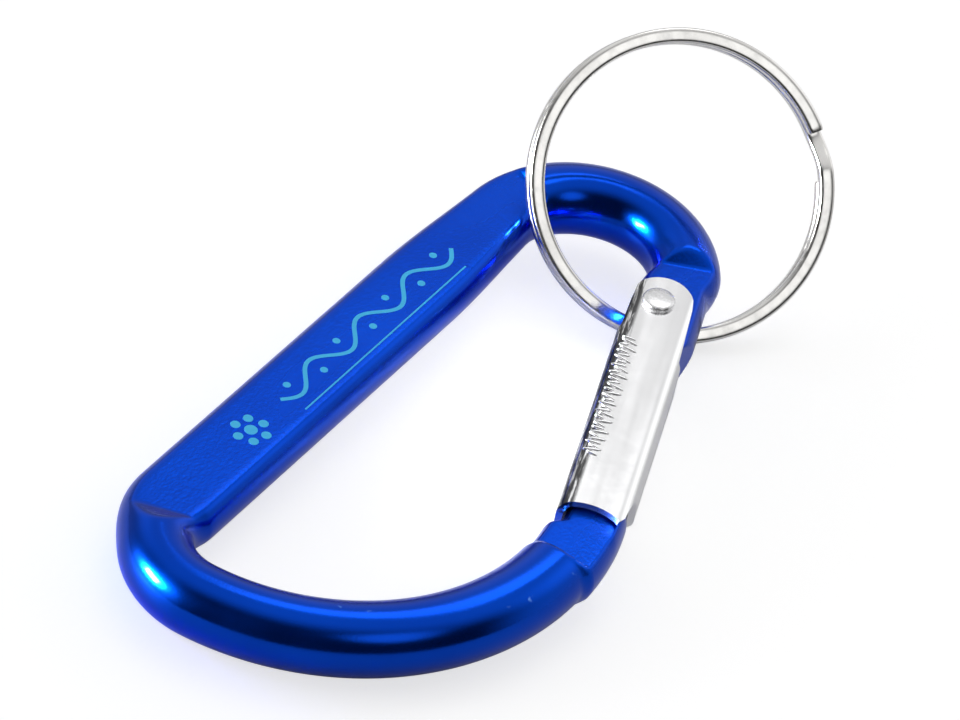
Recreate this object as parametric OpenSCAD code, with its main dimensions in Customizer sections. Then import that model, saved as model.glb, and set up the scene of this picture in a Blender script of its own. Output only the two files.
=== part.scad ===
// Carabiner keyring: a bent bar with a sprung sheet-metal gate and a two-turn split ring.
// The bar's centreline lies in the plane Z = 0. +Y runs along the spine towards the ring end,
// and +X runs from the spine towards the gate. The origin is in the middle of the clip opening.

/* [Bar] */
// Diameter of the round bar
bar_d = 5.5; // [5.2:0.1:5.6]
// Thickness of the pressed-flat spine and tongue
flat_t = 3.7; // [3.4:0.1:3.8]
// Width of the spine where it is pressed flat
spine_w = 7.1; // [6.6:0.1:7.4]
// Radius of the tight bend between the spine and the wide end
heel_r = 6.1; // [6:0.1:6.3]
// Radius of the long bend round the wide end
wide_r = 19.1; // [19:0.1:19.3]
// Radius of the bend at the ring end
top_r = 7.75; // [7.65:0.05:7.85]

/* [Gate] */
// Width of the gate across its tube
gate_w = 5.4; // [5.3:0.1:5.5]
// Thickness of the gate's sheet metal
sheet_t = 0.5; // [0.4:0.05:0.5]
// Diameter of the rivet's shank
rivet_d = 1.9; // [1.7:0.1:2]
// Diameter of the rivet's heads
rivet_head_d = 2.5; // [2.4:0.1:2.7]

/* [Split ring] */
// Outside diameter of the split ring
ring_od = 24; // [23.9:0.1:24.1]
// Width of the ring wire, measured along the ring's radius
wire_w = 1.2; // [1.1:0.05:1.2]
// Thickness of one turn of the ring wire
wire_t = 0.9; // [0.8:0.05:0.9]

/* [Hidden] */

// --- bar path ---
bar_r = bar_d / 2;
flat_z = flat_t / 2;
spine_x = -10.5;                 // centreline of the spine
spine_low = -19.3;               // where the spine runs into the heel bend
spine_high = 23.4;               // where the spine runs into the top bend
slant = 20.4;                    // angle between the gate and the spine
heel_turn = 95;                  // angle that the heel bend turns through
heel_c = [spine_x + heel_r, spine_low];
wide_a0 = 180 + heel_turn;       // where the heel bend meets the wide bend
wide_a1 = 360 + slant;           // where the wide bend ends, inside the gate
wide_c = heel_c - (wide_r - heel_r) * [cos(wide_a0), sin(wide_a0)];
top_c = [spine_x + top_r, spine_high];
along = [sin(slant), -cos(slant)];   // from the rivet towards the nose
rivet_at = [4.8, 21.5];              // axis of the gate's rivet

// --- pressed stretches: how far the bar is pressed, by distance from each end of the stretch ---
step_l = 0.7;                    // length of the sloped wall of a pressed step
heel_step_l = 2.2;               // the same at the heel end of the spine
nose_l = 5.8;                    // pressed nose, measured back from the end of the wide bend
heel_flat_a = 220;               // heel bend angle at which the spine's flat starts
top_flat_a = 152;                // top bend angle at which the spine's flat ends
top_spread = 15;                 // length over which the spine's spread fades at the top
tongue_a = 33;                   // top bend angle at which the tongue's flat starts
tongue_l = 9.4;                  // straight tongue beyond the top bend
tongue_w = 5.5;                  // width of the tongue
tongue_in = -0.6;                // shift of the tongue towards the opening
mill_u = 2.6;                    // where the flat milled on the tongue starts, along the gate
mill_v = -1.55;                  // how far across that flat lies
taper_u = 1.6;                   // where the tongue's outer edge starts to taper, along the gate
taper_v = 3.5;                   // how far across that edge lies
taper_a = 21;                    // angle of the taper
nose_z = 1.7;                    // half thickness of the nose
nose_outer = 3.1;                // from the bar's centreline to the nose's outer edge
nose_inner = 1.45;               // the same to its inner edge, inside the gate
nose_inner_wide = 2.5;           // and beyond the gate
nose_neck_d = 2.1;               // where the nose starts to widen, from the end of the wide bend
nose_neck_l = 1;                 // length over which it widens
nose_tip_l = 0.7;                // straight tip beyond the wide bend
sides = 28;                      // sides of the bar's section

// --- gate, in its own frame: U runs along the gate, V across it, the rivet is at U = V = 0 ---
ear_r = 2.25;                    // radius of the ears round the rivet
ear_up = 0.6;                    // how far the ears' round end lies behind the rivet
ear_v = 0.2;                     // centre of the ears, across
play = 0.1;                      // gap between the bar's flats and the tube's inside
gate_v = 0.35;                   // centre of the tube, across
gate_in_z = flat_z + play;       // half height of the tube, inside
gate_z = gate_in_z + sheet_t;    // half height of the tube, outside
inner_wall_u = 3.1;              // where the wall on the opening's side starts
outer_wall_u = 5.6;              // where the outer wall starts
outer_wall_end = 21.3;           // where the outer wall ends, at its top
outer_wall_a = 22;               // slant of the outer wall's end
slot_v = 1.6;                    // how far across the side openings reach into the tube
gate_end = 24.3;                 // open end of the gate
bite_r = 3.9;                    // radius of the curved cut at the open end
bite_u = 2.9;                    // its centre, beyond the open end
bite_v = -0.5;                   // its centre, across
corner_a = 18;                   // angle of the corner cut off beside the nose
corner_u = 0.4;                  // start of that cut, beyond the outer wall
seat_u = 19.4;                   // spring seat inside the gate
seat_w = 3.8;                    // width of the spring seat
fold_r = 1.1;                    // outside radius of the folds
head_h = 0.45;                   // height of a rivet head
eye_gap = 0.04;                  // running clearance round the rivet's shank

// --- spring and plunger ---
push_r = 1.15;                   // plunger head radius
push_u = 5.1;                    // plunger nose
push_head_l = 1.4;               // length of the plunger's head
push_l = 5;                      // length of the plunger
stem_r = 0.6;                    // plunger stem radius, inside the coil
spring_r = 1.15;                 // mean radius of the coil
spring_wire = 0.36;              // diameter of the spring wire
spring_u0 = 6.8;                 // first turn's centre
seat_gap = 0.02;                 // gap between the last turn and its seat
spring_turns = 11;

// --- split ring ---
ring_r = (ring_od - wire_w) / 2; // centreline radius
turn_gap = 0.05;                 // gap between the two turns
ring_c = [-0.25, 32.05, 4.1];    // centre of the ring at rest
ring_tip = 44.5;                 // tilt of the ring out of the carabiner's plane
ring_yaw = 45;                   // direction of the line that the ring is tipped about
ring_cut = 20;                   // where the front turn is cut, seen from the ring's axis
jog_a = 16;                      // angle over which the wire steps from turn to turn

// Smooth step from 0 to 1 as t goes from 0 to 1
function ease(t) = let(k = min(1, max(0, t))) k * k * (3 - 2 * k);
// Straight step from 0 to 1 as t goes from 0 to 1
function ramp(t) = min(1, max(0, t));
function mix(a, b, k) = a + (b - a) * k;

// A station of the bar: [point, outward angle, half width, half thickness, shift outwards]
function round_at(p, a) = [p, a, bar_r, bar_r, 0];
// press and spread run from 0 (round bar) to 1 (fully pressed)
function pressed(p, a, press, spread, half_w, half_t, shift) =
    [p, a, mix(bar_r, half_w, spread), mix(bar_r, half_t, press), shift * spread];
function on_arc(c, r, a) = c + r * [cos(a), sin(a)];

// Arc lengths to angles
function deg(l, r) = l / r * 180 / PI;

// The nose, at angle a of the wide bend; d is the distance from the end of the bend
function nose_station(a) =
    let(d = (wide_a1 - a) * PI / 180 * wide_r)
    let(press = 1 - ramp((d - nose_l) / step_l))
    let(inner = mix(nose_inner, nose_inner_wide, ease((d - nose_neck_d) / nose_neck_l)))
    [on_arc(wide_c, wide_r, a), a, mix(bar_r, (nose_outer + inner) / 2, press),
     mix(bar_r, nose_z, press), press * (nose_outer - inner) / 2];

// Stations of the spine and the tongue; d is the distance from where the pressed stretch starts
heel_spread = 5;                 // length over which the spine's spread grows at the heel
tongue_spread = 3;               // the same for the tongue
function heel_station(p, a) =
    let(d = heel_d(a) + max(0, p[1] - spine_low))
    pressed(p, a, ramp(d / heel_step_l), ease(d / heel_spread), spine_w / 2, flat_z, 0);
function spine_station(p, a, d) =
    pressed(p, a, ramp(d / step_l), ease(d / top_spread), spine_w / 2, flat_z, 0);
function tongue_station(p, a, d) =
    pressed(p, a, ramp(d / step_l), ease(d / tongue_spread), tongue_w / 2, flat_z, tongue_in);

nose_a = wide_a1 - deg(nose_l, wide_r);
step_a = deg(step_l, wide_r);
neck_a0 = wide_a1 - deg(nose_neck_d, wide_r);
neck_a1 = wide_a1 - deg(nose_neck_d + nose_neck_l, wide_r);
nose_end = nose_station(wide_a1);
nose_tip = [nose_end[0] - nose_tip_l * along, wide_a1, nose_end[2], nose_end[3], nose_end[4]];
function heel_d(a) = (heel_flat_a - a) * PI / 180 * heel_r;
function top_d(a) = (a - top_flat_a) * PI / 180 * top_r;
function tongue_d(a) = (tongue_a - a) * PI / 180 * top_r;
function tongue_p(l) = on_arc(top_c, top_r, slant) + l * along;

stations = concat(
    [nose_tip],
    [for (i = [0:2]) nose_station(mix(wide_a1, neck_a0, i / 2))],
    [for (i = [1:4]) nose_station(mix(neck_a0, neck_a1, i / 4))],
    [for (i = [1:3]) nose_station(mix(neck_a1, nose_a, i / 3))],
    [for (i = [1:2]) nose_station(nose_a - step_a * i / 2)],
    [for (i = [1:15]) let(a = mix(nose_a - step_a, wide_a0, i / 15))
        round_at(on_arc(wide_c, wide_r, a), a)],
    [for (i = [1:11]) let(a = mix(wide_a0, heel_flat_a, i / 11))
        round_at(on_arc(heel_c, heel_r, a), a)],
    [for (i = [1:8]) let(a = mix(heel_flat_a, 180, i / 9))
        heel_station(on_arc(heel_c, heel_r, a), a)],
    [for (i = [0:4]) heel_station([spine_x, spine_low + i * 1.1], 180)],
    [for (i = [0:5]) let(l = (6 - i) * 2)
        spine_station([spine_x, spine_high - l], 180, top_d(180) + l)],
    [spine_station([spine_x, spine_high], 180, top_d(180))],
    [for (i = [1:7]) let(a = 180 - (180 - top_flat_a) * i / 7)
        spine_station(on_arc(top_c, top_r, a), a, top_d(a))],
    [for (i = [1:15]) let(a = mix(top_flat_a, tongue_a, i / 15))
        round_at(on_arc(top_c, top_r, a), a)],
    [for (i = [1:3]) let(a = mix(tongue_a, slant, i / 3))
        tongue_station(on_arc(top_c, top_r, a), a, tongue_d(a))],
    [for (i = [1:3]) let(l = i * 0.8)
        tongue_station(tongue_p(l), slant, tongue_d(slant) + l)],
    [tongue_station(tongue_p(tongue_l), slant, tongue_d(slant) + tongue_l)]
);

// One ring of points round the bar: an ellipse whose top and bottom are pressed flat
function bar_section(s) =
    [for (k = [0:sides - 1])
        let(a = 360 * (k + 0.5) / sides)
        let(v = s[4] + s[2] * cos(a))
        let(z = max(-s[3], min(s[3], bar_r * sin(a))))
        [s[0][0] + v * cos(s[1]), s[0][1] + v * sin(s[1]), z]];

// Closed skin over rings of n points, with flat ends
module skin(rings, n) {
    count = len(rings);
    polyhedron(
        points = [for (r = rings) each r],
        faces = concat(
            [[for (k = [0:n - 1]) k]],
            [for (i = [0:count - 2], k = [0:n - 1])
                let(a = i * n + k)
                let(b = i * n + (k + 1) % n)
                each [[a, a + n, b], [b, a + n, b + n]]],
            [[for (k = [n - 1:-1:0]) (count - 1) * n + k]]
        ),
        convexity = 8
    );
}

// Puts children made in the gate's frame (U to +X, V to +Y) into place
module in_gate_frame() {
    translate([rivet_at[0], rivet_at[1], 0])
        rotate([0, 0, slant - 90])
            children();
}

module body() {
    color("royalblue")
        difference() {
            skin([for (s = stations) bar_section(s)], sides);
            translate([rivet_at[0], rivet_at[1], -bar_d])
                cylinder(d = rivet_d + 2 * eye_gap, h = 2 * bar_d, $fn = 48);
            // flat milled on the tongue, where it lies inside the gate's tube
            in_gate_frame()
                block(mill_u, tongue_l, mill_v - bar_r, mill_v, -bar_d, bar_d);
            // taper of the tongue's outer edge, so that it lies inside the tube too
            in_gate_frame()
                translate([taper_u, taper_v, 0])
                    rotate([0, 0, -taper_a])
                        block(0, tongue_l, 0, bar_r, -bar_d, bar_d);
        }
}

// Square block given by its ranges along, across and up
module block(u0, u1, v0, v1, z0, z1) {
    translate([u0, v0, z0])
        cube([u1 - u0, v1 - v0, z1 - z0]);
}

// Rounded oblong, centred on V = 0 and Z = 0, running along U
module oblong(u0, u1, width, height, radius) {
    translate([u0, 0, 0])
        rotate([90, 0, 90])
            linear_extrude(u1 - u0)
                union() {
                    square([width - 2 * radius, height], center = true);
                    square([width, height - 2 * radius], center = true);
                    for (x = [-1, 1], y = [-1, 1])
                        translate([x * (width / 2 - radius), y * (height / 2 - radius)])
                            circle(r = radius, $fn = 32);
                }
}

module gate() {
    in_r = fold_r - sheet_t;     // inside radius of the folds
    far = 5;                     // reach of the cuts past the sheet
    color("silver")
        in_gate_frame()
            difference() {
                union() {
                    difference() {
                        translate([0, gate_v, 0])
                            oblong(ear_up, gate_end, gate_w, 2 * gate_z, fold_r);
                        translate([0, gate_v, 0])
                            oblong(-1, gate_end + 1, gate_w - 2 * sheet_t, 2 * gate_in_z, in_r);
                    }
                    translate([0, gate_v, 0])
                        block(seat_u, seat_u + sheet_t, -seat_w / 2, seat_w / 2, -gate_in_z, gate_in_z);
                    for (s = [-1, 1])
                        translate([-ear_up, ear_v, s * (gate_in_z + sheet_t / 2) - sheet_t / 2])
                            cylinder(r = ear_r, h = sheet_t, $fn = 48);
                    for (s = [-1, 1])
                        translate([0, ear_v, s * (gate_in_z + sheet_t / 2)])
                            block(-ear_up, ear_up + 1, -ear_r, ear_r, -sheet_t / 2, sheet_t / 2);
                }
                // both side walls are open round the tongue
                block(-1, inner_wall_u, -far, ear_v - ear_r, -far, far);
                block(-1, inner_wall_u, -far, -slot_v, -gate_in_z, gate_in_z);
                block(-1, outer_wall_u, slot_v, far, -gate_in_z, gate_in_z);
                block(-1, inner_wall_u, gate_v + gate_w / 2 - sheet_t, far, -far, far);
                // the outer wall stops short of the nose, and its end and the lower plate's corner slant
                block(outer_wall_end, gate_end + 1, slot_v, far, -gate_in_z, gate_in_z);
                translate([outer_wall_end, slot_v, gate_in_z])
                    rotate([0, outer_wall_a, 0])
                        block(0, 2 * far, 0, far, -2 * far, 0);
                // curved cut at the open end
                translate([gate_end + bite_u, gate_v + bite_v, -far])
                    cylinder(r = bite_r, h = 2 * far, $fn = 48);
                // corner cut off beside the nose
                translate([outer_wall_end + corner_u, gate_v + gate_w / 2, -far])
                    rotate([0, 0, -corner_a])
                        cube([2 * far, far, 2 * far]);
                translate([0, 0, -far])
                    cylinder(d = rivet_d, h = 2 * far, $fn = 48);
            }
}

module gate_rivet() {
    color("gainsboro")
        translate([rivet_at[0], rivet_at[1], 0])
            union() {
                cylinder(d = rivet_d, h = 2 * gate_z, center = true, $fn = 48);
                for (s = [-1, 1])
                    translate([0, 0, s * (gate_z + head_h / 2)])
                        cylinder(d = rivet_head_d, h = head_h, center = true, $fn = 48);
            }
}

module gate_spring() {
    n = 8;
    steps = 14;
    length = seat_u - spring_wire / 2 - seat_gap - spring_u0;
    total = spring_turns * steps;
    color("dimgray")
        in_gate_frame()
            translate([0, gate_v, 0])
                skin([for (i = [0:total])
                    let(a = i * 360 / steps)
                    let(u = spring_u0 + length * i / total)
                    [for (k = [0:n - 1])
                        let(r = spring_r + spring_wire / 2 * cos(k * 360 / n))
                        [u - spring_wire / 2 * sin(k * 360 / n), r * cos(a), r * sin(a)]]], n);
}

module spring_plunger() {
    color("lightgray")
        in_gate_frame()
            translate([push_u, gate_v, 0])
                rotate([0, 90, 0])
                    union() {
                        cylinder(r = push_r, h = push_head_l, $fn = 32);
                        cylinder(r = stem_r, h = push_l, $fn = 32);
                    }
}

// Height of the wire's centre above the ring's mid plane, at angle a along its two turns
function turn_z(a) = (wire_t + turn_gap) / 2 * (1 - 2 * ease((a - 360 + jog_a) / jog_a));

module split_ring() {
    first = 0;
    last = 720 - jog_a - 3;
    count = 132;
    r = 0.3;
    w = wire_w / 2;
    t = wire_t / 2;
    // the wire's section: flat faces with rounded edges
    section = [
        [w, -t + r], [w - r, -t], [-w + r, -t], [-w, -t + r],
        [-w, t - r], [-w + r, t], [w - r, t], [w, t - r]
    ];
    color("lightsteelblue")
        translate(ring_c)
            rotate([0, 0, ring_yaw])
                rotate([ring_tip, 0, 0])
                    skin([for (i = [0:count])
                        let(a = mix(first, last, i / count))
                        let(b = ring_cut + a)
                        [for (s = section)
                            [(ring_r + s[0]) * cos(b), (ring_r + s[0]) * sin(b), s[1] + turn_z(a)]]], 8);
}

body();
gate();
gate_rivet();
gate_spring();
spring_plunger();
split_ring();
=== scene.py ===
"""Carabiner keyring: a blue anodised bar, a polished sprung gate and a two-turn split ring."""

import math

import bmesh
import bpy
import numpy as np
from mathutils import Matrix, Vector


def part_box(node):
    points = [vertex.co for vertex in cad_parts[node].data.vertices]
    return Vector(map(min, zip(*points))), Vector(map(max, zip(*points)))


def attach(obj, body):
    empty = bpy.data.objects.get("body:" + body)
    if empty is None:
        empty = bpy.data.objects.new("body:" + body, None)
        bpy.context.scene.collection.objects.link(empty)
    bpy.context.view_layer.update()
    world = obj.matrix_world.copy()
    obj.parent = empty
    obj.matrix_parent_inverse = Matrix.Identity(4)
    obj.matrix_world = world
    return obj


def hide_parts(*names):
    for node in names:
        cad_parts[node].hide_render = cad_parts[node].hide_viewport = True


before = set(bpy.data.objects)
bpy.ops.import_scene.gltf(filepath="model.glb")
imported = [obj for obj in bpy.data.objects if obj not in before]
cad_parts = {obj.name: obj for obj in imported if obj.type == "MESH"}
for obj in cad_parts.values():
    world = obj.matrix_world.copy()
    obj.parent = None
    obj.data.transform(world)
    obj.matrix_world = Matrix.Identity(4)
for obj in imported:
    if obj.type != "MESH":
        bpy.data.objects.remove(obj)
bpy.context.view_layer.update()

MM = 0.001                      # lengths are in millimetres and angles in degrees, until a mesh is made

# --- the bar's path, as the CAD model draws it ---
BAR_R = 2.75
FLAT_Z = 1.85                   # half the thickness of the spine and the tongue
SPINE_W = 7.1
SPINE_X = -10.5
SPINE_LOW = -19.3
SPINE_HIGH = 23.4
SLANT = 20.4                    # angle between the gate and the spine
HEEL_R = 6.1                    # bends, measured at the bar's centre line
HEEL_TURN = 95
WIDE_R = 19.1
TOP_R = 7.75
HEEL_C = np.array([SPINE_X + HEEL_R, SPINE_LOW])
TOP_C = np.array([SPINE_X + TOP_R, SPINE_HIGH])
WIDE_A0 = 180 + HEEL_TURN
WIDE_A1 = 360 + SLANT

# --- its pressed stretches ---
STEP_L = 0.7                    # length of the step from round bar to flat
HEEL_STEP_L = 2.2
TONGUE_STEP_L = 1.5
NOSE_L = 5.8
HEEL_FLAT_A = 220               # where on the bends the flats begin
TOP_FLAT_A = 152
TONGUE_A = 33
HEEL_SPREAD = 5                 # lengths over which the flats widen
TOP_SPREAD = 15
TONGUE_SPREAD = 3
TONGUE_L = 9.4
TONGUE_W = 5.5
TONGUE_IN = -0.6                # shift of the tongue towards the spine
MILL_U = 2.6                    # the tongue's milled inner edge, in the gate's frame
MILL_V = -1.55
TAPER_U = 1.6                   # the tongue's tapered outer edge, in the gate's frame
TAPER_V = 3.5
TAPER_A = 21
TONGUE_END_U = 8                # both cuts end before this
NOSE_Z = 1.7
NOSE_OUTER = 3.1
NOSE_INNER = 1.45
NOSE_INNER_WIDE = 2.5
NOSE_NECK_D = 2.1
NOSE_NECK_L = 1
NOSE_TIP = 0.7                  # straight tip beyond the wide bend

EDGE_SOFT = 0.1                 # rounding of the pressed flats' edges
ROUND_SOFT = 0.06               # the same on the round bar, where nothing is pressed
OVER_BAR = 0.25                 # how far above the round bar a pressing starts
END_ROUND = 0.22                # rounding of the bar's two cut ends

# --- gate: U along it from the rivet, V across it ---
RIVET_AT = np.array([4.8, 21.5])
RIVET_R = 0.95
RIVET_HEAD_R = 1.25
HEAD_H = 0.45
SHEET_T = 0.5
GATE_W = 5.4
GATE_V = 0.35
GATE_IN_Z = FLAT_Z + 0.1        # inside face of each plate
GATE_Z = GATE_IN_Z + SHEET_T
FOLD_R = 1.1                    # outside radius of the folds
EAR_R = 2.25
EAR_UP = 0.6
EAR_V = 0.2
INNER_WALL_U = 3.1              # where the side walls begin
OUTER_WALL_U = 5.6
OUTER_WALL_END = 21.3
OUTER_WALL_A = 22
GATE_END = 24.3
BITE_U = 2.9                    # curved cut in the open end
BITE_V = -0.5
BITE_R = 3.9
CORNER_U = 0.4                  # corner cut off beside the nose
CORNER_A = 18
SEAT_U = 19.4
SEAT_W = 3.8
SEAT_CORNER_R = 0.4

# --- split ring ---
RING_OD = 24
WIRE_W = 1.2
WIRE_T = 0.9
WIRE_SOFT = 0.5                 # 0 is a square section, 1 an oval one
TURN_GAP = 0.05
RING_C = np.array([-0.25, 32.05, 4.1])
RING_TIP = 44.5
RING_YAW = 45
RING_CUT = 20                   # where round the ring the wire starts
JOG_A = 16                      # angle over which the wire steps from one turn to the next
RING_END_GAP = 3                # the wire's other end stops this far short of the step

INK_T = 0.02                    # thickness of the printed ink


def ramp(t):
    """t held between 0 and 1."""
    return np.clip(t, 0, 1)


def ease(t):
    """0 to 1 as t goes from 0 to 1, with soft ends."""
    k = ramp(t)
    return k * k * (3 - 2 * k)


def mix(a, b, k):
    return a + (b - a) * k


def soft_min(a, b, k):
    """The smaller of a and b, rounded over about k where they meet."""
    return -k * np.log(np.exp(-a / k) + np.exp(-b / k))


def unit(deg):
    return np.array([math.cos(math.radians(deg)), math.sin(math.radians(deg))])


ALONG = np.array([math.sin(math.radians(SLANT)), -math.cos(math.radians(SLANT))])
ACROSS = unit(SLANT)
WIDE_C = HEEL_C - (WIDE_R - HEEL_R) * unit(WIDE_A0)


def to_gate(u, v, z):
    """Gate-frame point in millimetres to a row-frame point in millimetres."""
    p = RIVET_AT + u * ALONG + v * ACROSS
    return (p[0], p[1], z)


# ---------------------------------------------------------------- mesh helpers

def make_object(name, verts, faces, smooth=35):
    """A mesh object from millimetre points, smooth shaded except at edges over `smooth` degrees."""
    mesh = bpy.data.meshes.new(name)
    mesh.from_pydata([tuple(c * MM for c in v) for v in verts], [], faces)
    mesh.validate()
    obj = bpy.data.objects.new(name, mesh)
    bpy.context.scene.collection.objects.link(obj)
    bm = bmesh.new()
    bm.from_mesh(mesh)
    bmesh.ops.recalc_face_normals(bm, faces=bm.faces)
    bm.to_mesh(mesh)
    bm.free()
    for face in mesh.polygons:
        face.use_smooth = True
    mesh.set_sharp_from_angle(angle=math.radians(smooth))
    return obj


def skin(rings):
    """Vertices and faces of a closed tube over equal rings of points."""
    n = len(rings[0])
    verts = [p for ring in rings for p in ring]
    faces = []
    for i in range(len(rings) - 1):
        for k in range(n):
            a, b = i * n + k, i * n + (k + 1) % n
            faces.append((a, a + n, b + n, b))
    faces.append(tuple(range(n)))
    last = (len(rings) - 1) * n
    faces.append(tuple(last + k for k in range(n - 1, -1, -1)))
    return verts, faces


def join(parts):
    """One list of vertices and one of faces from several (vertices, faces) pairs."""
    verts, faces = [], []
    for part_v, part_f in parts:
        base = len(verts)
        verts += part_v
        faces += [tuple(base + i for i in f) for f in part_f]
    return verts, faces


def bevel(obj, width, segments=2, angle=35):
    """Rounds the edges sharper than `angle` by a modifier."""
    mod = obj.modifiers.new("edges", "BEVEL")
    mod.width = width * MM
    mod.segments = segments
    mod.limit_method = "ANGLE"
    mod.angle_limit = math.radians(angle)


def cut(obj, cutter):
    """Cuts the closed cutter out of obj and deletes the cutter."""
    mod = obj.modifiers.new("cut", "BOOLEAN")
    mod.operation = "DIFFERENCE"
    mod.solver = "EXACT"
    mod.object = cutter
    graph = bpy.context.evaluated_depsgraph_get()
    result = bpy.data.meshes.new_from_object(obj.evaluated_get(graph))
    obj.modifiers.clear()
    obj.data = result
    bpy.data.objects.remove(cutter)


def lathe(profile, sides):
    """Rings of points round Z from (radius, height) pairs."""
    return [[(r * math.cos(2 * math.pi * k / sides), r * math.sin(2 * math.pi * k / sides), z)
             for k in range(sides)] for r, z in profile]


# ---------------------------------------------------------------- bar

def pressed_state(kind, a, l):
    """(press, half width, half thickness, shift) of the bar where it is on stretch `kind`."""
    rad = math.pi / 180
    if kind == "wide":
        d = (WIDE_A1 - a) * rad * WIDE_R
        press = 1 - ramp((d - NOSE_L) / STEP_L)
        inner = mix(NOSE_INNER, NOSE_INNER_WIDE, ease((d - NOSE_NECK_D) / NOSE_NECK_L))
        half_w = mix(BAR_R, (NOSE_OUTER + inner) / 2, press)
        return press, half_w, NOSE_Z, press * (NOSE_OUTER - inner) / 2
    if kind == "heel":
        d = (HEEL_FLAT_A - a) * rad * HEEL_R
        return ramp(d / HEEL_STEP_L), mix(BAR_R, SPINE_W / 2, ease(d / HEEL_SPREAD)), FLAT_Z, 0
    if kind == "spine":
        low = (HEEL_FLAT_A - 180) * rad * HEEL_R + l
        high = (180 - TOP_FLAT_A) * rad * TOP_R + SPINE_HIGH - SPINE_LOW - l
        spread = min(ease(low / HEEL_SPREAD), ease(high / TOP_SPREAD))
        return 1, mix(BAR_R, SPINE_W / 2, spread), FLAT_Z, 0
    if kind == "top":
        flat = (a - TOP_FLAT_A) * rad * TOP_R
        tongue = (TONGUE_A - a) * rad * TOP_R
        if flat > 0:
            return ramp(flat / STEP_L), mix(BAR_R, SPINE_W / 2, ease(flat / TOP_SPREAD)), FLAT_Z, 0
        spread = ease(tongue / TONGUE_SPREAD)
        press = ramp((tongue + TONGUE_STEP_L - STEP_L) / TONGUE_STEP_L)
        return press, mix(BAR_R, TONGUE_W / 2, spread), FLAT_Z, TONGUE_IN * spread
    tongue = (TONGUE_A - SLANT) * rad * TOP_R + l
    spread = ease(tongue / TONGUE_SPREAD)
    return 1, mix(BAR_R, TONGUE_W / 2, spread), FLAT_Z, TONGUE_IN * spread


def bar_stations(step=0.2):
    """(point, outward angle, press, half width, half thickness, shift) every `step` along the bar."""
    rows = []

    def arc(kind, centre, radius, a0, a1):
        count = round(abs(a1 - a0) * math.pi / 180 * radius / step)
        for i in range(count):
            a = mix(a0, a1, i / count)
            rows.append((centre + radius * unit(a), a) + tuple(pressed_state(kind, a, 0)))

    tip_end = WIDE_C + WIDE_R * unit(WIDE_A1)
    for l in (NOSE_TIP, NOSE_TIP - step):
        rows.append((tip_end - l * ALONG, WIDE_A1) + tuple(pressed_state("wide", WIDE_A1, 0)))
    arc("wide", WIDE_C, WIDE_R, WIDE_A1, WIDE_A0)
    arc("heel", HEEL_C, HEEL_R, WIDE_A0, 180)
    length = SPINE_HIGH - SPINE_LOW
    count = round(length / step)
    for i in range(count):
        l = length * i / count
        rows.append((np.array([SPINE_X, SPINE_LOW + l]), 180) + tuple(pressed_state("spine", 180, l)))
    arc("top", TOP_C, TOP_R, 180, SLANT)
    count = round(TONGUE_L / step)
    for i in range(count + 1):
        l = TONGUE_L * i / count
        point = TOP_C + TOP_R * unit(SLANT) + l * ALONG
        rows.append((point, SLANT) + tuple(pressed_state("tongue", SLANT, l)))
    return rows


def bar_ring(station, sides, inset=0.0, slide=0.0):
    """One ring of points round the bar, and how far each lies on a pressed flat."""
    point, angle, press, half_w, half_t, shift = station
    out = unit(angle)
    forward = np.array([-out[1], out[0]])
    top = mix(BAR_R + OVER_BAR, half_t, press)
    points, flat = [], []
    for k in range(sides):
        a = 2 * math.pi * (k + 0.5) / sides
        v = shift + (half_w - inset) * math.cos(a)
        rise = BAR_R * abs(math.sin(a))
        z = math.copysign(soft_min(rise, top, mix(ROUND_SOFT, EDGE_SOFT, press)) - inset, math.sin(a))
        p = point + v * out + slide * forward
        rel = p - RIVET_AT
        milled = MILL_V - rel @ ACROSS
        tapered = TAPER_V - (rel @ ALONG - TAPER_U) * math.tan(math.radians(TAPER_A)) - rel @ ACROSS
        if MILL_U < rel @ ALONG < TONGUE_END_U and 0 < milled < 4:
            p = p + milled * ACROSS
        if TAPER_U < rel @ ALONG < TONGUE_END_U and -4 < tapered < 0:
            p = p + tapered * ACROSS
        points.append((p[0], p[1], z))
        flat.append(float(press * ease((rise - top) / 0.12 + 0.5)))
    return points, flat


def make_body():
    """The bar; its "pressed" attribute is 1 on the flats and 0 on the round stretches."""
    sides = 88
    stations = bar_stations()
    inset, slide = END_ROUND * 0.3, 0.12
    rings = [bar_ring(stations[0], sides, END_ROUND), bar_ring(stations[0], sides, inset, -slide)]
    rings += [bar_ring(s, sides) for s in stations[2:-2]]
    rings += [bar_ring(stations[-1], sides, inset, slide), bar_ring(stations[-1], sides, END_ROUND)]
    verts, faces = skin([r[0] for r in rings])
    obj = make_object("carabiner_bar", verts, faces, smooth=50)
    pressed = obj.data.attributes.new("pressed", "FLOAT", "POINT")
    pressed.data.foreach_set("value", [f for r in rings for f in r[1]])
    return obj


# ---------------------------------------------------------------- gate

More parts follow.
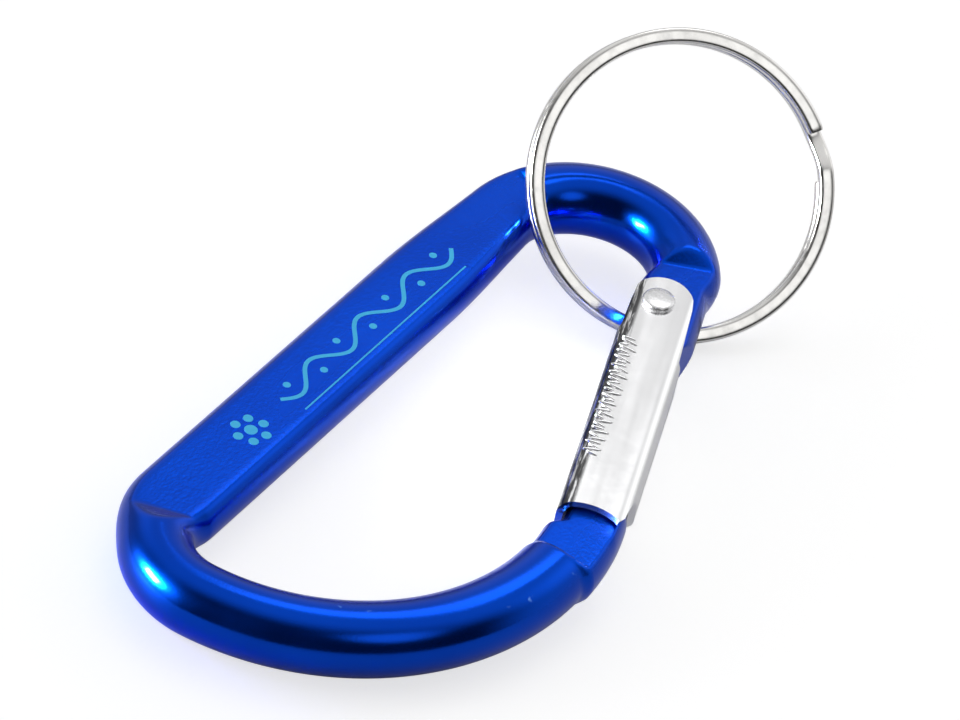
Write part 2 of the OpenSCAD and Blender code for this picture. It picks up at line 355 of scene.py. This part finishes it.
def gate_profile(per_corner=10):
    """Mid-sheet outline of the gate's tube as (v, z, normal v, normal z), all the way round."""
    half_v = (GATE_W - SHEET_T) / 2
    half_z = GATE_Z - SHEET_T / 2
    r = FOLD_R - SHEET_T / 2
    flat_v = half_v - r
    rows = []

    def plate(sign):
        edge_v = np.linspace(-flat_v, flat_v, 61)
        for v in (edge_v if sign > 0 else edge_v[::-1]):
            rows.append((v + GATE_V, sign * half_z, 0.0, float(sign)))

    def corner(sv, sz, a0, a1):
        for i in range(1, per_corner):
            c = unit(mix(a0, a1, i / per_corner))
            rows.append((sv * flat_v + r * c[0] + GATE_V, sz * (half_z - r) + r * c[1], c[0], c[1]))

    def wall(sv):
        for z in np.linspace(half_z - r, -(half_z - r), 13)[::sv]:
            rows.append((sv * half_v + GATE_V, z, float(sv), 0.0))

    plate(1)
    corner(1, 1, 90, 0)
    wall(1)
    corner(1, -1, 0, -90)
    plate(-1)
    corner(-1, -1, 270, 180)
    wall(-1)
    corner(-1, 1, 180, 90)
    return rows


def gate_span(v, z):
    """Where the sheet starts and ends along the gate, at a point of its outline."""
    half_z = GATE_Z - SHEET_T / 2
    fold = (half_z - abs(z)) / (FOLD_R - SHEET_T / 2)      # 0 on a plate, 1 at the foot of the fold
    side = v - EAR_V
    if abs(side) < EAR_R:
        start = -EAR_UP - math.sqrt(EAR_R ** 2 - side ** 2)
        if abs(side) > EAR_R - 0.02:
            start = -EAR_UP
    elif side < 0:
        start = -EAR_UP
    else:
        start = mix(-EAR_UP, INNER_WALL_U, ease((side - EAR_R) / 0.3))
    if side < 0:
        start = mix(start, INNER_WALL_U, ease((fold - 0.2) / 0.25))
    else:
        start = mix(start, OUTER_WALL_U, ease((fold - 0.15) / 0.3))
    end = GATE_END + BITE_U - math.sqrt(max(BITE_R ** 2 - (v - GATE_V - BITE_V) ** 2, 0))
    corner = OUTER_WALL_END + CORNER_U + (GATE_V + GATE_W / 2 - v) / math.tan(math.radians(CORNER_A))
    end = min(end, corner, GATE_END)
    if v > 1.8 and z < half_z - 0.2:
        slant = OUTER_WALL_END - (half_z - z) * math.tan(math.radians(OUTER_WALL_A))
        end = mix(end, slant, ease(fold / 0.6) if z > 0 else 1)
    return start, end


def make_gate():
    """The folded sheet; its attribute marks the band along the inner fold where a dark reflection is painted
    in streaks.
    """
    rows = gate_profile()
    along = 70
    outer, inner = [], []
    for v, z, nv, nz in rows:
        start, end = gate_span(v, z)
        wall_u = INNER_WALL_U if v < EAR_V else OUTER_WALL_U
        for skin_side, out in ((1, outer), (-1, inner)):
            off = skin_side * SHEET_T / 2
            col = []
            for i in range(along + 1):
                u, w = mix(start, end, i / along), z + nz * off
                if u < wall_u and skin_side < 0 and nz != 0:
                    w = math.copysign(max(abs(w), GATE_IN_Z), z)     # the ears stay clear of the tongue
                col.append(to_gate(u, v + nv * off, w))
            out.append(col)
    n, m = len(rows), along + 1
    verts = [p for col in outer for p in col] + [p for col in inner for p in col]
    faces = []
    for c in range(n):
        d = (c + 1) % n
        for i in range(along):
            faces.append((c * m + i, d * m + i, d * m + i + 1, c * m + i + 1))
            faces.append(((n + c) * m + i, (n + c) * m + i + 1, (n + d) * m + i + 1, (n + d) * m + i))
        faces.append((c * m, (n + c) * m, (n + d) * m, d * m))
        faces.append((c * m + along, d * m + along, (n + d) * m + along, (n + c) * m + along))
    obj = make_object("gate_sheet", verts, faces, smooth=40)
    reflection_band = obj.data.attributes.new("painted_reflection", "FLOAT", "POINT")
    values = []
    for v, z, nv, nz in rows:
        # the inner fold's band, where a dark reflection is painted in streaks
        reflection_weight = ease((v + 2.25) / 0.15) * (1 - ease((v + 1.42) / 0.3)) if z > GATE_Z - FOLD_R else 0
        values += [float(reflection_weight)] * m
    reflection_band.data.foreach_set("value", values * 2)
    bevel(obj, 0.09, 3, 50)
    return obj


def make_seat():
    """The plate across the inside of the gate that the spring rests on."""
    r = SEAT_CORNER_R
    outline = []
    for cv, cz, a0 in ((1, 1, 0), (-1, 1, 90), (-1, -1, 180), (1, -1, 270)):
        for i in range(6):
            c = unit(a0 + 18 * i)
            outline.append((GATE_V + cv * (SEAT_W / 2 - r) + r * c[0], cz * (GATE_IN_Z - r) + r * c[1]))
    rings = [[to_gate(u, v, w) for v, w in outline] for u in (SEAT_U, SEAT_U + SHEET_T)]
    obj = make_object("spring_seat", *skin(rings))
    bevel(obj, 0.06)
    return obj


def make_ribs():
    """Raised slanted ribs of uneven length along the gate's inner edge: a plain finger grip."""
    count, pitch, first = 34, 0.4, 4.8
    width, height, inner_v = 0.13, 0.13, -1.75
    ribs = []
    for r in range(count):
        length = 1.05 + 0.3 * math.sin(2.4 * r)
        lean = math.radians(4 + 17 * math.sin(2.3 * r))
        start_v = inner_v + 0.14 * math.sin(2.9 * r)
        rings = []
        for i in range(13):
            t = i / 12
            swell = math.sqrt(math.sqrt(max(1 - (2 * t - 1) ** 2, 0.02)))
            row = []
            for k in range(10):
                a = math.pi * k / 9
                u = first + pitch * r + width * swell * math.cos(a) + length * (t - 0.5) * math.tan(lean)
                rise = height * swell * math.sin(a) - 0.02 * (k in (0, 9))
                row.append(to_gate(u, start_v + length * t, GATE_Z + rise))
            rings.append(row)
        ribs.append(skin(rings))
    return make_object("gate_grip_ribs", *join(ribs), smooth=60)


def make_rivet():
    """A shank with a low domed head on each ear, as a lathe profile of (radius, height) points."""
    sides = 64
    e, z0 = RIVET_HEAD_R, GATE_Z
    top = z0 + HEAD_H
    crown = [(0.02, top + 0.02), (e * 0.3, top + 0.015), (e * 0.62, top - 0.01)]
    shoulder = [(e * 0.84, top - 0.04), (e * 0.94, top - 0.1), (e * 0.985, top - 0.19)]
    foot = [(e, z0 + HEAD_H * 0.45), (e * 0.99, z0 + 0.05), (e * 0.96, z0)]
    shank = [(RIVET_R, z0), (RIVET_R, z0 - 0.4)]
    profile = crown + shoulder + foot + shank
    profile += [(r, -z) for r, z in profile[::-1]]
    verts, faces = skin(lathe(profile, sides))
    verts = [(x + RIVET_AT[0], y + RIVET_AT[1], z) for x, y, z in verts]
    return make_object("rivet_turned", verts, faces, smooth=40)


# ---------------------------------------------------------------- split ring

def turn_z(a):
    """Height of the wire's centre above the ring's mid plane, at angle a along its two turns."""
    return (WIRE_T + TURN_GAP) / 2 * (1 - 2 * ease((a - 360 + JOG_A) / JOG_A))


def make_ring():
    """Two turns of soft-edged flat wire, with one short step from the first turn to the second."""
    section = []
    for i in range(36):
        c, h = unit(10 * i + 5)
        section.append((math.copysign(abs(c) ** WIRE_SOFT, c) * WIRE_W / 2,
                        math.copysign(abs(h) ** WIRE_SOFT, h) * WIRE_T / 2))
    turn = Matrix.Rotation(math.radians(RING_YAW), 3, "Z") @ Matrix.Rotation(math.radians(RING_TIP), 3, "X")
    radius = (RING_OD - WIRE_W) / 2
    last = 720 - JOG_A - RING_END_GAP
    count = 560
    rings = []
    for i in range(count + 1):
        a = last * i / count
        b = math.radians(RING_CUT + a)
        shrink = 1 - 0.12 * (i in (0, count))
        ring = []
        for x, y in section:
            rad = radius + x * shrink
            p = turn @ Vector((rad * math.cos(b), rad * math.sin(b), y * shrink + float(turn_z(a))))
            ring.append((p.x + RING_C[0], p.y + RING_C[1], p.z + RING_C[2]))
        rings.append(ring)
    return make_object("split_ring_wire", *skin(rings), smooth=50)


# ---------------------------------------------------------------- printed ornament

def ribbon(points, width, z):
    """A flat ribbon of ink along points (x, y) in millimetres, as a thin closed solid."""
    pts = np.array(points)
    tan = np.gradient(pts, axis=0)
    tan /= np.linalg.norm(tan, axis=1)[:, None]
    nor = np.stack([-tan[:, 1], tan[:, 0]], axis=1) * width / 2
    rings = []
    for p, n in zip(pts, nor):
        a, b = p + n, p - n
        rings.append([(a[0], a[1], z), (b[0], b[1], z), (b[0], b[1], z - INK_T), (a[0], a[1], z - INK_T)])
    return skin(rings)


def disc(centre, radius, z, sides=28):
    """A dot of ink, as a thin closed solid."""
    ring = [(centre[0] + radius * math.cos(2 * math.pi * k / sides),
             centre[1] + radius * math.sin(2 * math.pi * k / sides)) for k in range(sides)]
    return skin([[(x, y, z) for x, y in ring], [(x, y, z - INK_T) for x, y in ring]])


def make_print():
    """A plain ornament on the spine: a rosette of dots, a wave with dots in its bays, and a thin rule."""
    z = FLAT_Z + 0.012
    rosette = np.array([SPINE_X + 0.35, -10.3])
    parts = [disc(rosette, 0.5, z)]
    parts += [disc(rosette + 1.2 * unit(60 * k + 15), 0.38, z) for k in range(6)]
    low, high, bays, swing, wave_x = -6.2, 16.2, 7, 0.85, SPINE_X + 0.1
    ys = np.linspace(low, high, 281)
    wave = wave_x + swing * np.sin((ys - low) / (high - low) * math.pi * bays)
    parts.append(ribbon(np.stack([wave, ys], axis=1), 0.34, z))
    bay = (high - low) / bays
    for i in range(bays):
        side = -0.55 if i % 2 == 0 else 0.55
        parts.append(disc((wave_x + side, low + bay * (i + 0.5)), 0.3, z))
    rule = np.linspace(low + 0.4, high - 0.9, 60)
    parts.append(ribbon(np.stack([np.full(60, SPINE_X + 2.05), rule], axis=1), 0.13, z))
    return make_object("spine_ornament", *join(parts))


# ---------------------------------------------------------------- materials

class Nodes:
    """A material's node tree with a Principled shader, and short calls to add nodes to it."""

    def __init__(self, name):
        self.material = bpy.data.materials.new(name)
        self.material.use_nodes = True
        self.tree = self.material.node_tree
        self.shader = self.tree.nodes["Principled BSDF"]
        self.coords = self.tree.nodes.new("ShaderNodeTexCoord").outputs["Object"]

    def add(self, kind, **values):
        node = self.tree.nodes.new(kind)
        for key, value in values.items():
            setattr(node, key, value)
        return node

    def link(self, a, b):
        self.tree.links.new(a, b)

    def noise(self, scale, detail=3, stretch=(1, 1, 1), turn=0.0, rough=0.5):
        """Noise over object space, in features per metre; turn tilts its long axis from +Y."""
        mapping = self.add("ShaderNodeMapping", vector_type="TEXTURE")
        mapping.inputs["Rotation"].default_value = (0, 0, turn)
        mapping.inputs["Scale"].default_value = tuple(1 / s for s in stretch)
        self.link(self.coords, mapping.inputs["Vector"])
        tex = self.add("ShaderNodeTexNoise")
        tex.inputs["Scale"].default_value = scale
        tex.inputs["Detail"].default_value = detail
        tex.inputs["Roughness"].default_value = rough
        self.link(mapping.outputs["Vector"], tex.inputs["Vector"])
        return tex.outputs["Fac"]

    def span(self, value, low, high, out_low=0.0, out_high=1.0):
        node = self.add("ShaderNodeMapRange")
        for key, number in (("From Min", low), ("From Max", high), ("To Min", out_low), ("To Max", out_high)):
            node.inputs[key].default_value = number
        self.link(value, node.inputs["Value"])
        return node.outputs["Result"]

    def math(self, op, a, b):
        node = self.add("ShaderNodeMath", operation=op)
        for socket, value in zip(node.inputs, (a, b)):
            if isinstance(value, (int, float)):
                socket.default_value = value
            else:
                self.link(value, socket)
        return node.outputs["Value"]

    def colour(self, fac, low, high):
        node = self.add("ShaderNodeMix", data_type="RGBA")
        node.inputs["A"].default_value = (*low, 1)
        node.inputs["B"].default_value = (*high, 1)
        self.link(fac, node.inputs["Factor"])
        return node.outputs["Result"]

    def bump(self, heights, distance, strength=1.0):
        """Adds bumps from (height, weight) pairs; distance is in millimetres."""
        total = None
        for height, weight in heights:
            part = self.math("MULTIPLY", height, weight)
            total = part if total is None else self.math("ADD", total, part)
        node = self.add("ShaderNodeBump")
        node.inputs["Distance"].default_value = distance * MM
        node.inputs["Strength"].default_value = strength
        self.link(total, node.inputs["Height"])
        self.link(node.outputs["Normal"], self.shader.inputs["Normal"])

    def set(self, **values):
        for key, value in values.items():
            self.shader.inputs[key.replace("_", " ")].default_value = value


def edge_glint_mask(n, low=0.52, high=0.62):
    """0 on plain surfaces and 1 on sharp outer edges, where a painted highlight goes."""
    geometry = n.add("ShaderNodeNewGeometry")
    return n.span(geometry.outputs["Pointiness"], low, high)


def blue_anodised():
    """Blue metal: beaded on the pressed flats, with fine drawing marks on the round bar, and paler in specks
    on sharp edges as a painted highlight for glints there.
    """
    n = Nodes("blue_anodised")
    flat = n.add("ShaderNodeAttribute", attribute_name="pressed").outputs["Fac"]
    tone = n.noise(90, 3)
    base = n.colour(n.span(tone, 0.3, 0.7), (0.0, 0.046, 0.47), (0.0, 0.058, 0.55))
    # painted highlight: sparse paler specks on sharp edges stand in for glints along them
    edge_glint = n.math("MULTIPLY", edge_glint_mask(n), n.span(n.noise(1500, 2), 0.55, 0.7))
    mixed = n.add("ShaderNodeMix", data_type="RGBA")
    n.link(edge_glint, mixed.inputs["Factor"])
    n.link(base, mixed.inputs["A"])
    mixed.inputs["B"].default_value = (0.12, 0.3, 0.9, 1)
    n.link(mixed.outputs["Result"], n.shader.inputs["Base Color"])
    smear = n.noise(260, 4, (1, 0.25, 1))
    rough = n.math("ADD", n.span(smear, 0.3, 0.75, 0.15, 0.22), n.math("MULTIPLY", flat, 0.08))
    n.link(rough, n.shader.inputs["Roughness"])
    n.set(Metallic=1.0, Coat_Weight=0.06, Coat_Roughness=0.1, Coat_IOR=1.5)
    # bead-like grain on the pressed flats, fine drawing marks on the round bar
    pebble = n.noise(4600, 2, (1, 0.7, 1))
    brushed = n.noise(1400, 3, (1, 0.06, 1))
    grain = n.math("MULTIPLY", n.math("ADD", pebble, n.math("MULTIPLY", brushed, 0.5)), flat)
    fine = n.noise(5200, 1)
    n.bump([(grain, 1.0), (fine, 0.16)], 0.035, 0.55)
    return n.material


def polished_sheet():
    """Bright steel, with a dark reflection painted in streaks along the inner fold, where the sheet's
    attribute marks it.
    """
    n = Nodes("polished_sheet")
    lean = math.radians(SLANT)
    cloud = n.noise(170, 4)
    bright = n.colour(n.span(cloud, 0.3, 0.7), (0.84, 0.84, 0.85), (0.9, 0.9, 0.91))
    # painted reflection: dark streaks along the inner fold stand in for the dark things the fold mirrors
    reflection_streak = n.span(n.noise(3000, 4, (1, 0.09, 1), lean, 0.7), 0.4, 0.52)
    painted_reflection = n.add("ShaderNodeAttribute", attribute_name="painted_reflection").outputs["Fac"]
    mixed = n.add("ShaderNodeMix", data_type="RGBA")
    n.link(n.math("MULTIPLY", n.math("MULTIPLY", reflection_streak, painted_reflection), 0.95), mixed.inputs["Factor"])
    n.link(bright, mixed.inputs["A"])
    mixed.inputs["B"].default_value = (0.03, 0.03, 0.032, 1)
    n.link(mixed.outputs["Result"], n.shader.inputs["Base Color"])
    rub = n.noise(900, 4, (1, 0.05, 1), lean)
    n.link(n.span(rub, 0.3, 0.72, 0.13, 0.26), n.shader.inputs["Roughness"])
    n.set(Metallic=1.0)
    scratch = n.noise(3200, 2, (1, 0.03, 1), lean)
    dimple = n.noise(520, 2)
    n.bump([(scratch, 0.25), (dimple, 1.0)], 0.03, 0.4)
    return n.material


def turned_metal(name, tint, rough):
    """Plain steel in a given tint, slightly mottled."""
    n = Nodes(name)
    cloud = n.noise(800, 3)
    n.link(n.colour(cloud, tuple(c * 0.85 for c in tint), tint), n.shader.inputs["Base Color"])
    n.link(n.span(n.noise(2400, 3), 0.3, 0.7, rough - 0.06, rough + 0.08), n.shader.inputs["Roughness"])
    n.set(Metallic=1.0)
    n.bump([(n.noise(3500, 2), 1.0)], 0.012, 0.5)
    return n.material


def nickel_wire():
    """Slightly warm plated wire with fine rub marks."""
    n = Nodes("nickel_wire")
    cloud = n.noise(220, 4)
    plate = n.colour(n.span(cloud, 0.3, 0.7), (0.70, 0.69, 0.67), (0.82, 0.81, 0.79))
    n.link(plate, n.shader.inputs["Base Color"])
    n.link(n.span(n.noise(1300, 4), 0.3, 0.72, 0.1, 0.24), n.shader.inputs["Roughness"])
    n.set(Metallic=1.0)
    n.bump([(n.noise(900, 3), 1.0), (n.noise(4500, 2), 0.3)], 0.02, 0.35)
    return n.material


def printed_ink():
    """Matt light-blue ink."""
    n = Nodes("printed_ink")
    n.link(n.colour(n.noise(1500, 3), (0.0, 0.5, 1.0), (0.0, 0.58, 1.0)), n.shader.inputs["Base Color"])
    n.link(n.span(n.noise(3000, 2), 0.3, 0.7, 0.38, 0.5), n.shader.inputs["Roughness"])
    n.bump([(n.noise(4000, 2), 1.0)], 0.01, 0.5)
    return n.material


def paper_floor():
    """White paper; seen directly it is lifted to near white, so only soft shadows show."""
    n = Nodes("paper_floor")
    seen = n.add("ShaderNodeLightPath").outputs["Is Camera Ray"]
    paper = n.colour(n.noise(12, 2), (0.84, 0.84, 0.85), (0.86, 0.86, 0.87))
    shade = n.add("ShaderNodeMix", data_type="RGBA")
    n.link(seen, shade.inputs["Factor"])
    n.link(paper, shade.inputs["A"])
    shade.inputs["B"].default_value = (0.45, 0.45, 0.45, 1)
    n.link(shade.outputs["Result"], n.shader.inputs["Base Color"])
    n.link(n.span(n.noise(60, 2), 0.3, 0.7, 0.7, 0.8), n.shader.inputs["Roughness"])
    n.set(Specular_IOR_Level=0.1)
    n.shader.inputs["Emission Color"].default_value = (1, 1, 1, 1)
    n.link(n.math("MULTIPLY", seen, 0.7), n.shader.inputs["Emission Strength"])
    return n.material


def dress(obj, material):
    """Gives obj this material alone."""
    obj.data.materials.clear()
    obj.data.materials.append(material)


# ---------------------------------------------------------------- the object

def build():
    """Makes every visible piece and puts each on the body that it moves with."""
    blue, sheet, nickel = blue_anodised(), polished_sheet(), nickel_wire()

    bar = make_body()
    hole_r, hole_z = RIVET_R + 0.04, 4
    hole = make_object("hole", *skin(lathe([(hole_r, -hole_z), (hole_r, hole_z)], 48)))
    hole.location = (RIVET_AT[0] * MM, RIVET_AT[1] * MM, 0)
    bpy.context.view_layer.update()
    cut(bar, hole)
    for face in bar.data.polygons:
        face.use_smooth = True
    bar.data.set_sharp_from_angle(angle=math.radians(50))
    dress(bar, blue)
    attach(bar, "carabiner")
    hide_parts("body")

    ornament = make_print()
    dress(ornament, printed_ink())
    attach(ornament, "carabiner")

    gate = make_gate()
    dress(gate, sheet)
    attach(gate, "gate_unit")
    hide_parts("gate")
    for part in (make_seat(), make_ribs()):
        dress(part, sheet)
        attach(part, "gate_unit")

    rivet = make_rivet()
    dress(rivet, turned_metal("rivet_metal", (0.78, 0.78, 0.79), 0.24))
    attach(rivet, "gate_unit")
    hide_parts("gate_rivet")

    ring = make_ring()
    dress(ring, nickel)
    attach(ring, "ring")
    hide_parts("split_ring")

    dress(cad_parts["gate_spring"], turned_metal("spring_wire", (0.5, 0.5, 0.52), 0.3))
    dress(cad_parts["spring_plunger"], turned_metal("plunger_steel", (0.62, 0.62, 0.64), 0.3))


# ---------------------------------------------------------------- stage

def make_floor():
    """A pale floor just under the ring's low edge and the underside of the wide end."""
    ring_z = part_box("split_ring")[0][2]
    ring_y = (RING_C[1] - 8) * MM
    wide_y = (WIDE_C[1] - WIDE_R) * MM
    wide_z = -BAR_R * MM
    slope = (ring_z - wide_z) / (ring_y - wide_y)
    size, gap = 3.0, 0.05 * MM
    mesh = bpy.data.meshes.new("floor")
    corners = [(-size, -size), (size, -size), (size, size), (-size, size)]
    points = [(x, y, wide_z + slope * (y - wide_y) - gap) for x, y in corners]
    mesh.from_pydata(points, [], [(0, 1, 2, 3)])
    floor = bpy.data.objects.new("floor", mesh)
    bpy.context.scene.collection.objects.link(floor)
    dress(floor, paper_floor())


def area_light(name, place, target, size, power):
    """A rectangular lamp at `place`, facing `target`; sizes are in metres and power in watts."""
    data = bpy.data.lights.new(name, "AREA")
    data.shape = "RECTANGLE"
    data.size, data.size_y = size
    data.energy = power
    lamp = bpy.data.objects.new(name, data)
    lamp.location = place
    aim = Vector(target) - Vector(place)
    lamp.rotation_euler = aim.to_track_quat("-Z", "Y").to_euler()
    bpy.context.scene.collection.objects.link(lamp)
    return lamp


def heading(azimuth, elevation):
    """Unit vector; azimuth 0 is +Y and 90 is +X, in degrees."""
    az, el = math.radians(azimuth), math.radians(elevation)
    return Vector((math.sin(az) * math.cos(el), math.cos(az) * math.cos(el), math.sin(el)))


def make_lights():
    """A soft light behind, and a small bright one at the front left that only glints on the metal."""
    centre = Vector((0, 0.005, 0))
    area_light("back_softbox", centre + 0.6 * heading(-10, 58), centre, (0.30, 0.22), 0.35)
    glint = area_light("glint_lamp", centre + 0.5 * heading(-132, 20), centre, (0.13, 0.09), 24)
    glint.visible_diffuse = False


def make_world():
    """A dark studio with soft glowing panels round it; the camera itself sees a pale backdrop."""
    world = bpy.data.worlds.new("studio")
    bpy.context.scene.world = world
    world.use_nodes = True
    tree = world.node_tree
    tree.nodes.clear()
    coords = tree.nodes.new("ShaderNodeTexCoord").outputs["Generated"]
    total = None
    # azimuth, elevation, full within, gone beyond (degrees), brightness
    for azimuth, elevation, inner, outer, strength in (
            (-10, 55, 32, 68, 0.74),
            (-132, 10, 14, 34, 1.15),
            (-80, 8, 15, 48, 0.35),
            (114, 46, 3, 17, 1.2),
            (40, 4, 20, 50, 0.6)):
        dot = tree.nodes.new("ShaderNodeVectorMath")
        dot.operation = "DOT_PRODUCT"
        dot.inputs[1].default_value = heading(azimuth, elevation)
        tree.links.new(coords, dot.inputs[0])
        panel = tree.nodes.new("ShaderNodeMapRange")
        panel.interpolation_type = "SMOOTHSTEP"
        panel.inputs["From Min"].default_value = math.cos(math.radians(outer))
        panel.inputs["From Max"].default_value = math.cos(math.radians(inner))
        panel.inputs["To Max"].default_value = strength
        tree.links.new(dot.outputs["Value"], panel.inputs["Value"])
        if total is None:
            total = panel.outputs["Result"]
        else:
            add = tree.nodes.new("ShaderNodeMath")
            add.operation = "ADD"
            tree.links.new(total, add.inputs[0])
            tree.links.new(panel.outputs["Result"], add.inputs[1])
            total = add.outputs["Value"]
    lift = tree.nodes.new("ShaderNodeMath")
    lift.operation = "ADD"
    lift.inputs[1].default_value = 0.05
    tree.links.new(total, lift.inputs[0])
    room = tree.nodes.new("ShaderNodeBackground")
    tree.links.new(lift.outputs["Value"], room.inputs["Color"])
    pale = tree.nodes.new("ShaderNodeBackground")
    pale.inputs["Color"].default_value = (0.95, 0.95, 0.955, 1)
    path = tree.nodes.new("ShaderNodeLightPath")
    choose = tree.nodes.new("ShaderNodeMixShader")
    tree.links.new(path.outputs["Is Camera Ray"], choose.inputs["Fac"])
    tree.links.new(room.outputs["Background"], choose.inputs[1])
    tree.links.new(pale.outputs["Background"], choose.inputs[2])
    out = tree.nodes.new("ShaderNodeOutputWorld")
    tree.links.new(choose.outputs["Shader"], out.inputs["Surface"])


def make_camera():
    """Looks at the bar's plane from `elevation` above it, rolled as the picture is."""
    azimuth, elevation, roll = (math.radians(d) for d in (25.8, 42.0, 11.75))
    target = Vector((-2.8, 9.3, 0)) * MM
    distance = 472.4 * MM
    forward = Vector((-math.sin(azimuth) * math.cos(elevation), math.cos(azimuth) * math.cos(elevation),
                      -math.sin(elevation)))
    level = forward.cross(Vector((0, 0, 1))).normalized()
    up = level.cross(forward)
    right = level * math.cos(roll) + up * math.sin(roll)
    top = right.cross(forward)
    data = bpy.data.cameras.new("camera")
    data.lens = 239.5
    data.sensor_width = 36
    data.clip_start = 0.01
    camera = bpy.data.objects.new("camera", data)
    turn = Matrix((right, top, -forward)).transposed().to_4x4()
    camera.matrix_world = Matrix.Translation(target - forward * distance) @ turn
    bpy.context.scene.collection.objects.link(camera)
    bpy.context.scene.camera = camera


make_camera()
build()
make_floor()
make_lights()
make_world()
bpy.context.scene.view_settings.view_transform = "Standard"
